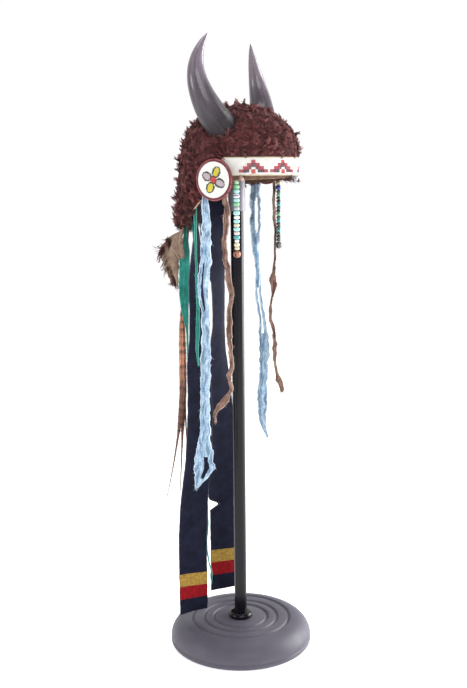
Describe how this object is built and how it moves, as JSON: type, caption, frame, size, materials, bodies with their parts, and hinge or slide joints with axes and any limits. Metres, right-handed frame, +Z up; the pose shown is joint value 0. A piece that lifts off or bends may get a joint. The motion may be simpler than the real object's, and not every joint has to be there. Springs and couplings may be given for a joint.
{
  "type": "horn headdress on display stand",
  "caption": "Horned fur headdress with beaded brow band, side rosettes, cloth strips and long cloth trailers, held on a round-based display stand.",
  "frame": {"origin": "centre of the stand base's flat underside", "axes": "+Z up along the stand's pole; the headdress faces -Y, and its wearer's right is -X"},
  "size_m": [0.254, 0.2748, 1.0641],
  "materials": {
    "base_paint": "matte charcoal",
    "pole_paint": "satin black",
    "pewter": "satin grey",
    "hide": "brown hide",
    "wool": "curly dark red-brown fur",
    "suede": "tan suede",
    "horn": "polished black horn",
    "band_beads": "opaque white seed beads with red steps",
    "rosette_beads": "opaque white seed beads with a flower",
    "edging": "red-brown edging",
    "glass_beads": "aqua, blue and cream glass",
    "copper": "tarnished copper",
    "blue_cotton": "washed blue cotton",
    "tan_cotton": "brown muslin",
    "teal_cotton": "teal cotton",
    "navy_wool": "navy wool cloth with red and yellow stripes",
    "feather": "orange-brown feather with dark bars"
  },
  "bodies": {
    "root": {"stand_base": "base_paint", "stand_foot_collar": "pole_paint", "stand_pole": "pole_paint", "stand_sleeve": "pewter", "stand_top_rod": "pole_paint", "stand_crown_rest": "pole_paint", "hide_cap": "hide", "fur_coat": "wool", "hide_tail": "suede", "hide_tab": "suede", "horn_right": "horn", "horn_left": "horn", "brow_band": "band_beads", "rosette_backing_right": "edging", "rosette_backing_left": "edging", "rosette_face_right": "rosette_beads", "rosette_face_left": "rosette_beads", "bead_string_right": "glass_beads", "bead_string_left": "glass_beads", "brow_bell_right": "copper", "brow_bell_centre": "copper", "brow_bell_left": "copper", "ribbon_blue_right": "blue_cotton", "ribbon_blue_left": "blue_cotton", "ribbon_tan_right": "tan_cotton", "ribbon_tan_left": "tan_cotton", "ribbon_teal_back": "teal_cotton", "ribbon_teal_side": "teal_cotton", "ribbon_teal_long": "teal_cotton", "trailer_right": "navy_wool", "trailer_left": "navy_wool", "feather_outer": "feather", "feather_middle": "feather", "feather_inner": "feather"}
  },
  "joints": []
}
